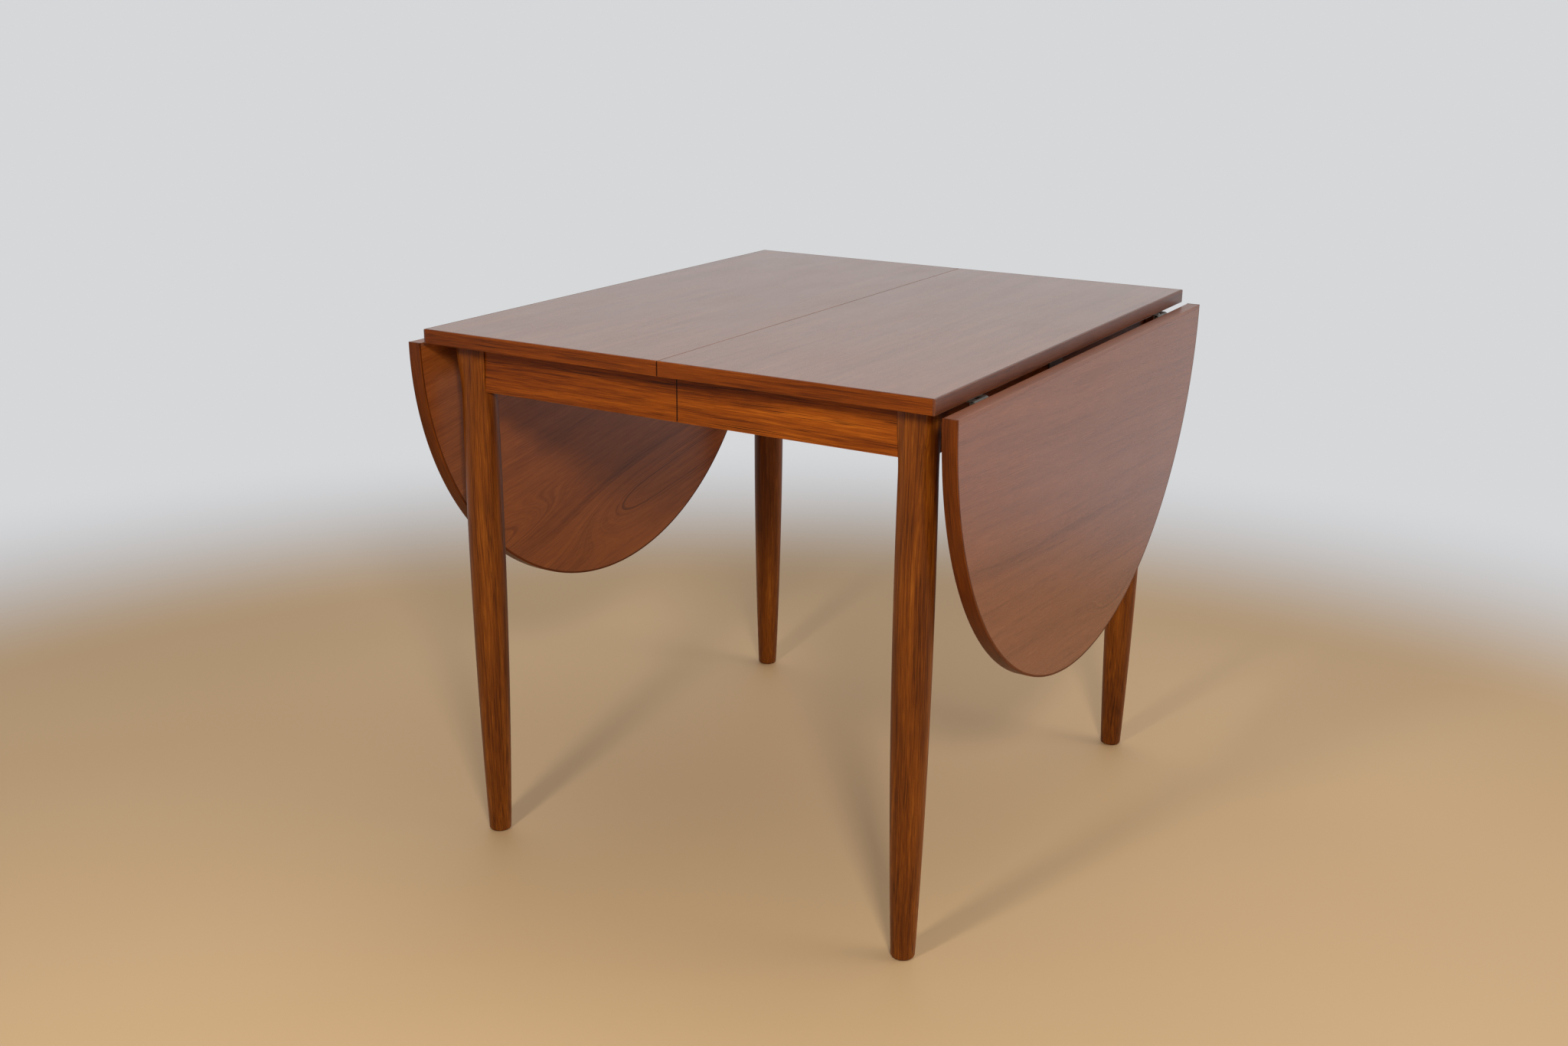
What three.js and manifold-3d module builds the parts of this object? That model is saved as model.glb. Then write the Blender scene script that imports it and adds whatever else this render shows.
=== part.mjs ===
// Extending dining table: a top split across its middle, two half-round drop leaves,
// four turned legs, and wooden runners that let the right half slide out.
// Millimetres. +X is the right end, -Y is the front and +Z is up.
// The origin is on the floor, under the middle of the closed table.
import * as THREE from 'three';
import { mergeVertices } from 'three/addons/utils/BufferGeometryUtils.js';
import Module from 'manifold-3d';

const wasm = await Module();
wasm.setup();

// The closed top
const table_height = 730;
const top_length = 735;
const top_depth = 848;
const top_thickness = 19;
const split_gap = 0.6;
const arris = 1.2;

// Clearances and roundness that several pieces share
const fit_gap = 0.3;
const overrun = 5;
const rod_sides = 12;
const leaf_sides = 32;
const arm_sides = 8;

// The turned legs
const leg_side_inset = 43.7;
const leg_front_inset = 54.2;
const leg_widest_radius = 24.6;
const foot_radius = 15.4;
const foot_round = 4;
const widest_height_share = 0.66;
const head_corner_radius = 8;
const rail_corner_radius = 12;
const leg_seat_depth = 4;
const leg_sides = 24;
const shaft_shares = [0.12, 0.27, 0.43, 0.6, 0.76];
const head_shares = [0, 0.2, 0.42, 0.7, 1];

// The rails under the top
const rail_height = 65;
const rail_thickness = 20;
const rail_face_offset = 12.2;

// The corner blocks, and the bolts that pull the legs against them
const block_reach = 62;
const block_drop = 50;
const bolt_radius = 4;
const bolt_drop = 30;
const bolt_grip = 16;
const bolt_tail = 14;
const nut_radius = 7;
const nut_length = 9;
const nut_wing_span = 36;
const nut_wing_height = 12;
const nut_wing_thickness = 2.5;

// The runners, in two sets of three bars
const runner_set_inset = 114.8;
const runner_width = 20;
const runner_height = 36;
const runner_side_gap = 0.4;
const runner_end_gap = 8;
const runner_top_gap = 1;
const tongue_depth = 7;
const tongue_root_height = 9;
const tongue_tip_height = 14;

// The dowels that line up the two half tops
const dowel_radius = 4;
const dowel_length = 40;
const dowel_inset = 134;

// The hinges
const hinge_inset = 108;
const hinge_width = 38;
const hinge_plate_thickness = 2;
const hinge_plate_length = 28;
const hinge_flap_length = 46;
const knuckle_radius = 4;
const hinge_pin_radius = 1.8;
const pin_outset = 4;
const pin_drop = 4.5;
const leaf_joint_gap = 0.4;
const knuckle_clearance = 0.5;

// The leaf supports
const stay_pivot_outset = 19.5;
const stay_pivot_drop = 40.5;
const stay_length = 105;
const stay_depth = 12;
const stay_width = 18;
const stay_pin_radius = 3;
const bracket_plate_thickness = 2.5;
const bracket_plate_width = 44;
const bracket_plate_height = 50;
const cheek_thickness = 2.5;
const cheek_height = 18;
const cheek_nose = 7;
const cheek_gap = 0.5;
const keeper_thickness = 3;
const keeper_hump = 9;
const keeper_flat = 8;
const keeper_lead = 25;
const keeper_width = 30;
const keeper_slope = THREE.MathUtils.degToRad(35);

// Places that follow from the sizes
const underside = table_height - top_thickness;
const half_length = top_length / 2;
const half_depth = top_depth / 2;
const leaf_thickness = top_thickness;
const leg_x = half_length - leg_side_inset;
const leg_y = half_depth - leg_front_inset;
const rail_bottom = underside - rail_height;
const leg_widest_height = underside * widest_height_share;
const leg_bow = (leg_widest_radius - foot_radius) / leg_widest_height ** 2;
const seat_distance = legRadius(underside) - leg_seat_depth;
const end_rail_face = leg_x + rail_face_offset;
const end_rail_back = end_rail_face - rail_thickness;
const pin_x = half_length + pin_outset;
const pin_z = underside - pin_drop;
const leaf_face = pin_x + pin_drop;
const leaf_edge = pin_z + pin_outset - leaf_joint_gap;
const leg_block_distance = legRadius(rail_bottom) + fit_gap;
const block_inset = rail_thickness - rail_face_offset;
const block_back_distance = (block_reach + block_inset) / Math.SQRT2;
const runner_set_offset = leg_y - runner_set_inset;
const hinge_offset = half_depth - hinge_inset;
const dowel_spread = half_depth - dowel_inset;
const runner_end = end_rail_back - runner_end_gap;
const runner_bottom = underside - runner_height;
const stay_x = end_rail_face + stay_pivot_outset;
const stay_z = underside - stay_pivot_drop;

function finish(color, roughness, metalness) {
  return new THREE.MeshStandardMaterial({ color, roughness, metalness, flatShading: true });
}

const veneer = finish(0x8f5f43, 0.35, 0);
const solid_teak = finish(0x8a4f28, 0.4, 0);
const plain_wood = finish(0xb98d5c, 0.6, 0);
const zinc = finish(0xb9b4a6, 0.35, 1);

// Solids: a closed geometry is cut or joined, then becomes a geometry again

function toSolid(geometry) {
  geometry.deleteAttribute('normal');
  geometry.deleteAttribute('uv');
  const merged = mergeVertices(geometry);
  const vertProperties = new Float32Array(merged.attributes.position.array);
  const corners = merged.index.array;
  const faces = [];
  for (let i = 0; i < corners.length; i += 3) {
    const [a, b, c] = corners.slice(i, i + 3);
    if (a !== b && b !== c && c !== a) {
      faces.push(a, b, c);
    }
  }
  const triVerts = new Uint32Array(faces);
  return new wasm.Manifold(new wasm.Mesh({ numProp: 3, vertProperties, triVerts }));
}

function toGeometry(solid) {
  const mesh = solid.getMesh();
  const geometry = new THREE.BufferGeometry();
  geometry.setAttribute('position', new THREE.BufferAttribute(mesh.vertProperties, 3));
  geometry.setIndex(new THREE.BufferAttribute(mesh.triVerts, 1));
  geometry.computeVertexNormals();
  return geometry;
}

function cut(geometry, ...tools) {
  const start = toSolid(geometry);
  return toGeometry(tools.reduce((solid, tool) => solid.subtract(toSolid(tool)), start));
}

function join(geometry, ...others) {
  const start = toSolid(geometry);
  return toGeometry(others.reduce((solid, other) => solid.add(toSolid(other)), start));
}

// Basic shapes, placed by their limits

function box(x, y, z) {
  const [width, depth, height] = [x, y, z].map(([low, high]) => high - low);
  const [middle_x, middle_y, middle_z] = [x, y, z].map(([low, high]) => (low + high) / 2);
  return new THREE.BoxGeometry(width, depth, height).translate(middle_x, middle_y, middle_z);
}

function rod(radius, start, end) {
  const line = new THREE.Vector3().subVectors(end, start);
  const turn = new THREE.Quaternion().setFromUnitVectors(
    new THREE.Vector3(0, 1, 0),
    line.clone().normalize(),
  );
  const middle = new THREE.Vector3().addVectors(start, end).divideScalar(2);
  return new THREE.CylinderGeometry(radius, radius, line.length(), rod_sides)
    .applyQuaternion(turn)
    .translate(middle.x, middle.y, middle.z);
}

function rodAlongY(radius, x, z, [low, high]) {
  return rod(radius, new THREE.Vector3(x, low, z), new THREE.Vector3(x, high, z));
}

function outline(points) {
  return new THREE.Shape(points.map(([u, v]) => new THREE.Vector2(u, v)));
}

// A section in Y and Z, drawn out along X
function alongX(section, [low, high], settings = {}) {
  const turn = new THREE.Matrix4().makeBasis(
    new THREE.Vector3(0, 1, 0),
    new THREE.Vector3(0, 0, 1),
    new THREE.Vector3(1, 0, 0),
  );
  return new THREE.ExtrudeGeometry(section, { depth: high - low, bevelEnabled: false, ...settings })
    .applyMatrix4(turn)
    .translate(low, 0, 0);
}

// A section in X and Z, drawn out along Y
function alongY(section, [low, high], settings = {}) {
  return new THREE.ExtrudeGeometry(section, { depth: high - low, bevelEnabled: false, ...settings })
    .rotateX(Math.PI / 2)
    .translate(0, high, 0);
}

// A board's edges are rounded to the arris on both faces
const rounded_edges = {
  bevelEnabled: true,
  bevelThickness: arris,
  bevelSize: arris,
  bevelOffset: -arris,
  bevelSegments: 2,
};

// Every piece below is made for the right half of the table. The left half is the same
// half turned round by 180 degrees, so its front pieces are the right half's back pieces.

function halfTop() {
  const start = split_gap / 2;
  const plan = outline([
    [start, -half_depth],
    [half_length, -half_depth],
    [half_length, half_depth],
    [start, half_depth],
  ]);
  const depth = top_thickness - 2 * arris;
  const board = new THREE.ExtrudeGeometry(plan, { ...rounded_edges, depth })
    .translate(0, 0, underside + arris);
  const hole_depth = dowel_length / 2 + fit_gap;
  const holes = dowelPlaces().map((y) => rod(
    dowel_radius + fit_gap,
    new THREE.Vector3(-overrun, y, dowelHeight()),
    new THREE.Vector3(hole_depth, y, dowelHeight()),
  ));
  return cut(board, ...holes);
}

function dowelPlaces() {
  return [-dowel_spread, 0, dowel_spread];
}

function dowelHeight() {
  return underside + top_thickness / 2;
}

function dowel(y) {
  return rod(
    dowel_radius,
    new THREE.Vector3(-dowel_length / 2, y, dowelHeight()),
    new THREE.Vector3(dowel_length / 2, y, dowelHeight()),
  );
}

// A half disc that hangs from its straight edge
function leaf() {
  const plan = new THREE.Shape();
  plan.moveTo(half_depth, leaf_edge);
  plan.absarc(0, leaf_edge, half_depth, 0, -Math.PI, true);
  plan.closePath();
  const range = [leaf_face + arris, leaf_face + leaf_thickness - arris];
  return alongX(plan, range, { ...rounded_edges, curveSegments: leaf_sides });
}

// The leg swells and tapers on one long arc
function legRadius(height) {
  return leg_widest_radius - leg_bow * (height - leg_widest_height) ** 2;
}

// Distance from the leg's axis to the rounded square head, at an angle from its flat
function headReach(half_side, corner_radius, angle) {
  const corner = half_side - corner_radius;
  const flat_reach = half_side / Math.cos(angle);
  if (flat_reach * Math.sin(angle) <= corner) {
    return flat_reach;
  }
  const along = corner * (Math.cos(angle) + Math.sin(angle));
  return along + Math.sqrt(along ** 2 - 2 * corner ** 2 + corner_radius ** 2);
}

// Turned round below the rails; above, all its corners but the inner one grow square
function leg(end) {
  const heights = [
    ...shaft_shares.map((share) => share * underside),
    ...head_shares.map((share) => THREE.MathUtils.lerp(rail_bottom, underside, share)),
  ];
  const profile = [
    [0, 0],
    [foot_radius - foot_round, 0],
    [foot_radius - foot_round / 4, foot_round / 3],
    [foot_radius, foot_round],
    ...heights.map((height) => [legRadius(height), height]),
    [0, underside],
  ].map(([radius, height]) => new THREE.Vector2(radius, height));
  const shaft = new THREE.LatheGeometry(profile, leg_sides).rotateX(Math.PI / 2);
  const points = shaft.attributes.position;
  const outward = new THREE.Vector2(1, end);
  for (let i = 0; i < points.count; i += 1) {
    const point = new THREE.Vector3().fromBufferAttribute(points, i);
    const radius = Math.hypot(point.x, point.y);
    const rise = (point.z - rail_bottom) / rail_height;
    if (rise > 0 && radius > 0) {
      const turn = new THREE.Vector2(point.x, point.y).angleTo(outward);
      const from_corner = Math.min(turn, Math.abs(turn - Math.PI / 2), Math.PI / 4);
      const rounding = turn < Math.PI / 4 ? head_corner_radius : rail_corner_radius;
      const squareness = THREE.MathUtils.smoothstep(rise, 0, 1);
      const corner_radius = THREE.MathUtils.lerp(radius, rounding, squareness);
      const growth = headReach(radius, corner_radius, Math.PI / 4 - from_corner) / radius;
      points.setXY(i, point.x * growth, point.y * growth);
    }
  }
  const hole_start = leg_block_distance - bolt_grip - fit_gap;
  const hole_end = leg_block_distance + overrun;
  return cut(
    shaft.translate(leg_x, end * leg_y, 0),
    ...railSeats(end),
    boltRod(end, bolt_radius + fit_gap, hole_start, hole_end),
  );
}

// A box given by how far it lies in from a leg's axis, along X and along Y
function boxFromLeg(end, insets_x, insets_y, z) {
  const x = insets_x.map((inset) => leg_x - inset).reverse();
  const y = insets_y.map((inset) => end * (leg_y - inset)).sort((a, b) => a - b);
  return box(x, y, z);
}

// The notches in a leg's head that take the ends of two rails
function railSeats(end) {
  const across = [-rail_face_offset - fit_gap, block_inset + fit_gap];
  const along = [seat_distance, leg_widest_radius + overrun];
  const z = [rail_bottom - fit_gap, underside + overrun];
  return [boxFromLeg(end, along, across, z), boxFromLeg(end, across, along, z)];
}

// Rails: the half rail along the top's edge and the rail across the end
function halfRail(end) {
  const insets_x = [seat_distance + fit_gap, leg_x - split_gap / 2];
  return boxFromLeg(end, insets_x, [-rail_face_offset, block_inset], [rail_bottom, underside]);
}

function endRail() {
  const reach = leg_y - seat_distance - fit_gap;
  return box([end_rail_back, end_rail_face], [-reach, reach], [rail_bottom, underside]);
}

// A point on the line that runs level from a leg's axis in towards the table's middle
function fromLeg(end, distance, height) {
  const step = distance / Math.SQRT2;
  return new THREE.Vector3(leg_x - step, end * (leg_y - step), height);
}

function boltRod(end, radius, start, stop) {
  const height = underside - bolt_drop;
  return rod(radius, fromLeg(end, start, height), fromLeg(end, stop, height));
}

function legBolt(end) {
  const stop = block_back_distance + bolt_tail;
  return boltRod(end, bolt_radius, leg_block_distance - bolt_grip, stop);
}

// A wooden block glued into the corner, with one slanted face against the leg
function cornerBlock(end) {
  const near = leg_block_distance * Math.SQRT2 - block_inset;
  const plan = outline([
    [near, block_inset],
    [block_reach, block_inset],
    [block_inset, block_reach],
    [block_inset, near],
  ].map(([x, y]) => [leg_x - x, end * (leg_y - y)]));
  const block = new THREE.ExtrudeGeometry(plan, { depth: block_drop, bevelEnabled: false })
    .translate(0, 0, underside - block_drop);
  const start = leg_block_distance - overrun;
  const stop = block_back_distance + overrun;
  return cut(block, boltRod(end, bolt_radius + fit_gap, start, stop));
}

function wingNut(end) {
  const wing_shares = [
    [0.2, 0], [0.2, 0.35], [0.5, 1], [1, 1], [0.75, 0.35], [0.75, 0],
  ];
  const upper = wing_shares.map(([x, y]) => [x * nut_wing_height, y * nut_wing_span / 2]);
  const lower = upper.slice(1, -1).map(([x, y]) => [x, -y]).reverse();
  const depth = nut_wing_thickness;
  const wings = new THREE.ExtrudeGeometry(outline([...upper, ...lower]), { depth, bevelEnabled: false })
    .translate(block_back_distance, 0, underside - bolt_drop - nut_wing_thickness / 2)
    .rotateZ(Math.atan2(-end, -1))
    .translate(leg_x, end * leg_y, 0);
  const hub_end = block_back_distance + nut_length;
  const hub = boltRod(end, nut_radius, block_back_distance, hub_end);
  const bore_end = block_back_distance + nut_wing_height + overrun;
  const bore = boltRod(end, bolt_radius + fit_gap, block_back_distance - overrun, bore_end);
  return cut(join(hub, wings), bore);
}

// The middle bar of a set has a dovetail tongue on both sides
function middleRunner(end) {
  const side = runner_width / 2;
  const tip = side + runner_side_gap + tongue_depth - fit_gap;
  const top = underside - runner_top_gap;
  const middle = underside - runner_height / 2;
  const flank = (sign) => [
    [sign * side, sign * tongue_root_height / -2],
    [sign * tip, sign * tongue_tip_height / -2],
    [sign * tip, sign * tongue_tip_height / 2],
    [sign * side, sign * tongue_root_height / 2],
  ].map(([y, z]) => [y, middle + z]);
  const section = outline([
    [-side, runner_bottom],
    [side, runner_bottom],
    ...flank(1),
    [side, top],
    [-side, top],
    ...flank(-1),
  ]);
  return alongX(section, [-runner_end, runner_end]).translate(0, end * runner_set_offset, 0);
}

// The outer bar is glued under its own half, and lies clear under the other half
function outerRunner(end) {
  const inner = -runner_width / 2 - runner_side_gap;
  const outer = inner - runner_width;
  const floor = inner - tongue_depth;
  const middle = underside - runner_height / 2;
  const mouth = tongue_root_height / 2 + fit_gap;
  const bottom = tongue_tip_height / 2 + fit_gap;
  const section = outline([
    [outer, runner_bottom],
    [inner, runner_bottom],
    [inner, middle - mouth],
    [floor, middle - bottom],
    [floor, middle + bottom],
    [inner, middle + mouth],
    [inner, underside],
    [outer, underside],
  ]);
  const bar = alongX(section, [-runner_end, end_rail_back]);
  const relief = box(
    [-runner_end - overrun, split_gap / 2],
    [outer - overrun, inner + overrun],
    [underside - runner_top_gap, underside + overrun],
  );
  return cut(bar, relief).translate(0, end * runner_set_offset, 0);
}

// Hinges: the fixed plate carries the outer knuckles and the flap carries the middle one
function knuckleLimits() {
  return hinge_width / 6;
}

function pinRod(radius, limits) {
  return rodAlongY(radius, pin_x, pin_z, limits);
}

function hingePlate(end) {
  const half_width = hinge_width / 2;
  const inner = knuckleLimits() + knuckle_clearance / 2;
  const flat_end = pin_x - knuckle_radius - knuckle_clearance;
  const plate_z = [underside - hinge_plate_thickness, underside];
  const arm_z = [underside - hinge_plate_thickness, underside - fit_gap];
  const plate_start = half_length - hinge_plate_length;
  const plate = box([plate_start, flat_end], [-half_width, half_width], plate_z);
  const sides = [[-half_width, -inner], [inner, half_width]];
  const arms = sides.map((side) => box([flat_end - overrun, pin_x], side, arm_z));
  const knuckles = sides.map((side) => pinRod(knuckle_radius, side));
  const bore = pinRod(hinge_pin_radius + fit_gap, [-half_width - overrun, half_width + overrun]);
  return cut(join(plate, ...arms, ...knuckles), bore).translate(0, end * hinge_offset, 0);
}

function hingeFlap(end) {
  const half_width = hinge_width / 2;
  const inner = knuckleLimits() - knuckle_clearance / 2;
  const flap_x = [leaf_face - hinge_plate_thickness, leaf_face];
  const flap_top = pin_z - knuckle_radius - knuckle_clearance;
  const flap = box(flap_x, [-half_width, half_width], [pin_z - hinge_flap_length, flap_top]);
  const arm = box(flap_x, [-inner, inner], [flap_top - overrun, pin_z]);
  const knuckle = pinRod(knuckle_radius, [-inner, inner]);
  const bore = pinRod(hinge_pin_radius + fit_gap, [-half_width, half_width]);
  return cut(join(flap, arm, knuckle), bore).translate(0, end * hinge_offset, 0);
}

function hingePin(end) {
  const reach = hinge_width / 2 + fit_gap;
  return pinRod(hinge_pin_radius, [-reach, reach]).translate(0, end * hinge_offset, 0);
}

// The leaf support: an arm that hangs from the end rail and swings up under the leaf
function stayBracket() {
  const middle = rail_bottom + rail_height / 2;
  const half_height = bracket_plate_height / 2;
  const half_width = bracket_plate_width / 2;
  const plate_end = end_rail_face + bracket_plate_thickness;
  const plate = box(
    [end_rail_face, plate_end],
    [-half_width, half_width],
    [middle - half_height, middle + half_height],
  );
  const cheek_start = stay_width / 2 + cheek_gap;
  const cheeks = [1, -1].map((side) => box(
    [plate_end - bracket_plate_thickness / 2, stay_x + cheek_nose],
    [side * cheek_start, side * (cheek_start + cheek_thickness)].sort((a, b) => a - b),
    [stay_z - cheek_height / 2, stay_z + cheek_height / 2],
  ));
  const bore_reach = cheek_start + cheek_thickness + overrun;
  const bore = rodAlongY(stay_pin_radius + fit_gap, stay_x, stay_z, [-bore_reach, bore_reach]);
  return cut(join(plate, ...cheeks), bore);
}

function stayPin() {
  const reach = stay_width / 2 + cheek_gap + cheek_thickness + fit_gap;
  return rodAlongY(stay_pin_radius, stay_x, stay_z, [-reach, reach]);
}

function stayArm() {
  const end_radius = stay_depth / 2;
  const side = new THREE.Shape();
  side.absarc(stay_x, stay_z, end_radius, 0, Math.PI);
  side.absarc(stay_x, stay_z - stay_length, end_radius, Math.PI, 2 * Math.PI);
  side.closePath();
  const bore = new THREE.Path();
  bore.absarc(stay_x, stay_z, stay_pin_radius + fit_gap, 0, 2 * Math.PI);
  side.holes.push(bore);
  return alongY(side, [-stay_width / 2, stay_width / 2], { curveSegments: arm_sides });
}

// Where the arm's end lies under the raised leaf, out from the pin and up from it
function raisedTip() {
  const up = pin_drop - keeper_thickness - fit_gap - stay_depth / 2;
  const rise = up + pin_z - stay_z;
  const out = stay_x - pin_x + Math.sqrt(stay_length ** 2 - rise ** 2);
  return { out, up };
}

// A plate on the leaf for the arm's end, with a hump that keeps it from sliding out
function stayKeeper() {
  const tip = raisedTip();
  const reach = stay_depth / 2 + fit_gap;
  const contact_out = tip.out + reach * Math.sin(keeper_slope);
  const contact_up = tip.up + reach * Math.cos(keeper_slope);
  const ramp_start = contact_out - (pin_drop - keeper_thickness - contact_up) / Math.tan(keeper_slope);
  const ramp = (keeper_hump - keeper_thickness) / Math.tan(keeper_slope);
  const steps = [
    [tip.out - keeper_lead, 0],
    [tip.out - keeper_lead, keeper_thickness],
    [ramp_start, keeper_thickness],
    [ramp_start + ramp, keeper_hump],
    [ramp_start + ramp + keeper_flat, keeper_hump],
    [ramp_start + 2 * ramp + keeper_flat, keeper_thickness],
    [ramp_start + 2 * ramp + keeper_flat, 0],
  ];
  const side = outline(steps.map(([out, height]) => [leaf_face - height, pin_z - out]));
  return alongY(side, [-keeper_width / 2, keeper_width / 2]);
}

// The table, put together
const table = new THREE.Group();

function add(name, geometry, material) {
  const mesh = new THREE.Mesh(geometry, material);
  mesh.name = name;
  table.add(mesh);
}

const halves = [
  { side: 'right', turn: 0, ends: { front: -1, back: 1 } },
  { side: 'left', turn: Math.PI, ends: { front: 1, back: -1 } },
];

for (const { side, turn, ends } of halves) {
  const addTurned = (name, geometry, material) => {
    add(name, geometry.rotateZ(turn), material);
  };
  addTurned(`top_${side}`, halfTop(), veneer);
  addTurned(`leaf_${side}`, leaf(), veneer);
  addTurned(`rail_end_${side}`, endRail(), solid_teak);
  addTurned(`stay_bracket_${side}`, stayBracket(), zinc);
  addTurned(`stay_pin_${side}`, stayPin(), zinc);
  addTurned(`stay_arm_${side}`, stayArm(), solid_teak);
  addTurned(`stay_keeper_${side}`, stayKeeper(), solid_teak);
  for (const [place, end] of Object.entries(ends)) {
    const corner = `${place}_${side}`;
    addTurned(`leg_${corner}`, leg(end), solid_teak);
    addTurned(`rail_${corner}`, halfRail(end), solid_teak);
    addTurned(`corner_block_${corner}`, cornerBlock(end), plain_wood);
    addTurned(`leg_bolt_${corner}`, legBolt(end), zinc);
    addTurned(`wing_nut_${corner}`, wingNut(end), zinc);
    addTurned(`runner_${corner}`, outerRunner(end), plain_wood);
    addTurned(`hinge_plate_${corner}`, hingePlate(end), zinc);
    addTurned(`hinge_flap_${corner}`, hingeFlap(end), zinc);
    addTurned(`hinge_pin_${corner}`, hingePin(end), zinc);
  }
}

for (const [place, end] of Object.entries(halves[0].ends)) {
  add(`runner_${place}_middle`, middleRunner(end), plain_wood);
}

for (const [i, place] of ['front', 'middle', 'back'].entries()) {
  add(`dowel_${place}`, dowel(dowelPlaces()[i]), plain_wood);
}

export default table;
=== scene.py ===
# %% [markdown]
# # Extending dining table
# A teak dining table whose top is split across the middle. The right half slides out on
# wooden runners, and a half-round leaf hangs from each end. The solid model already fixes
# every size and every joint. This lesson dresses it: each board, leg and hinge is made again
# with the rounded edges, thin edge strips, screws and wood grain that the real table shows.

# %% Load the solid model
import math

import bmesh
import bpy
from mathutils import Matrix, Vector


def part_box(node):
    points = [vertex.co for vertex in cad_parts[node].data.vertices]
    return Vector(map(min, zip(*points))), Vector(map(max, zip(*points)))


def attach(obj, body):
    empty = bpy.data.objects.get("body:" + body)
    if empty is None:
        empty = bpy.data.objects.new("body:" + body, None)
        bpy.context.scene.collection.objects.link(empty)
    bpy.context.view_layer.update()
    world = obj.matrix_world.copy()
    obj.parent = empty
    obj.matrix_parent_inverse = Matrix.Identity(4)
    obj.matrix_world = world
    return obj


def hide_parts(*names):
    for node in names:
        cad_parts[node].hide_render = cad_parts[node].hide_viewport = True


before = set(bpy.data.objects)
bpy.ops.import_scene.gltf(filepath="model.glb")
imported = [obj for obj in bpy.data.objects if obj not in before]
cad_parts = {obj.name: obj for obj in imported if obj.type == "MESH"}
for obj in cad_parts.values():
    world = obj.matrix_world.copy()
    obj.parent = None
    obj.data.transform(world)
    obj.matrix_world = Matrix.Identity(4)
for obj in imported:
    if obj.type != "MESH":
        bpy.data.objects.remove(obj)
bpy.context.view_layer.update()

# %% [markdown]
# ## The view
# The photograph looks down on the table's front right corner. The camera's place and turn
# were worked out from the table's own corners, so they are simply written down. Yaw turns it
# left of the +Y direction, pitch tips it down, and roll is the small tilt of a hand.

# %% Camera
def camera_turn(place, yaw, pitch, roll):
    """A frame whose -Z looks along yaw and pitch, with its own tilt."""
    ahead = Vector((-math.sin(yaw) * math.cos(pitch), math.cos(yaw) * math.cos(pitch), math.sin(pitch)))
    level = Vector((math.cos(yaw), math.sin(yaw), 0))
    above = level.cross(ahead)
    across = math.cos(roll) * level + math.sin(roll) * above
    over = math.cos(roll) * above - math.sin(roll) * level
    return Matrix.Translation(place) @ Matrix((across, over, -ahead)).transposed().to_4x4()


lens = bpy.data.cameras.new("camera")
lens.sensor_width = 36
lens.lens = 38.52
camera = bpy.data.objects.new("camera", lens)
camera.matrix_world = camera_turn(
    (1.13057, -2.03353, 1.14796), math.radians(30.613), math.radians(-17.507), math.radians(0.47)
)
bpy.context.scene.collection.objects.link(camera)
bpy.context.scene.camera = camera
print("camera stands", round(camera.matrix_world.translation.z, 2), "m above the floor")

# %% [markdown]
# ## Sizes
# Lengths are in metres. The table stands on the floor with its middle over the origin: +X
# points to the half that slides out, -Y to the front and +Z up. Most places are read from the
# solid model's boxes, so that a board here always lies exactly where the board there does.

# %% Sizes that several pieces share
mm = 0.001
top_low, top_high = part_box("top_right")
leaf_low, leaf_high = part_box("leaf_right")
rail_low, rail_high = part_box("rail_back_right")
end_low, end_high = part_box("rail_end_right")
leg_low, leg_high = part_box("leg_back_right")
leg_x, leg_y = (leg_low.x + leg_high.x) / 2, (leg_low.y + leg_high.y) / 2
underside = top_low.z
edge_strip = 3 * mm
inner_strip = 5 * mm
arris = 1.2 * mm
print("top", round(2 * top_high.x / mm), "by", round(2 * top_high.y / mm), "mm,",
      "underside at", round(underside / mm), "mm")

# %% [markdown]
# ## Sums on a surface
# A material is a net of nodes. Making each sum of a pattern as a node by hand is slow to
# write and to read, so this small class holds one output of a node and lets Python's own
# signs add the Math nodes. Colours and places go through Mix and Vector Math instead,
# because a Math node would turn them grey. Every node of every kind is made in one place,
# which sets the node's own settings before it fills or links its inputs.

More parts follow.
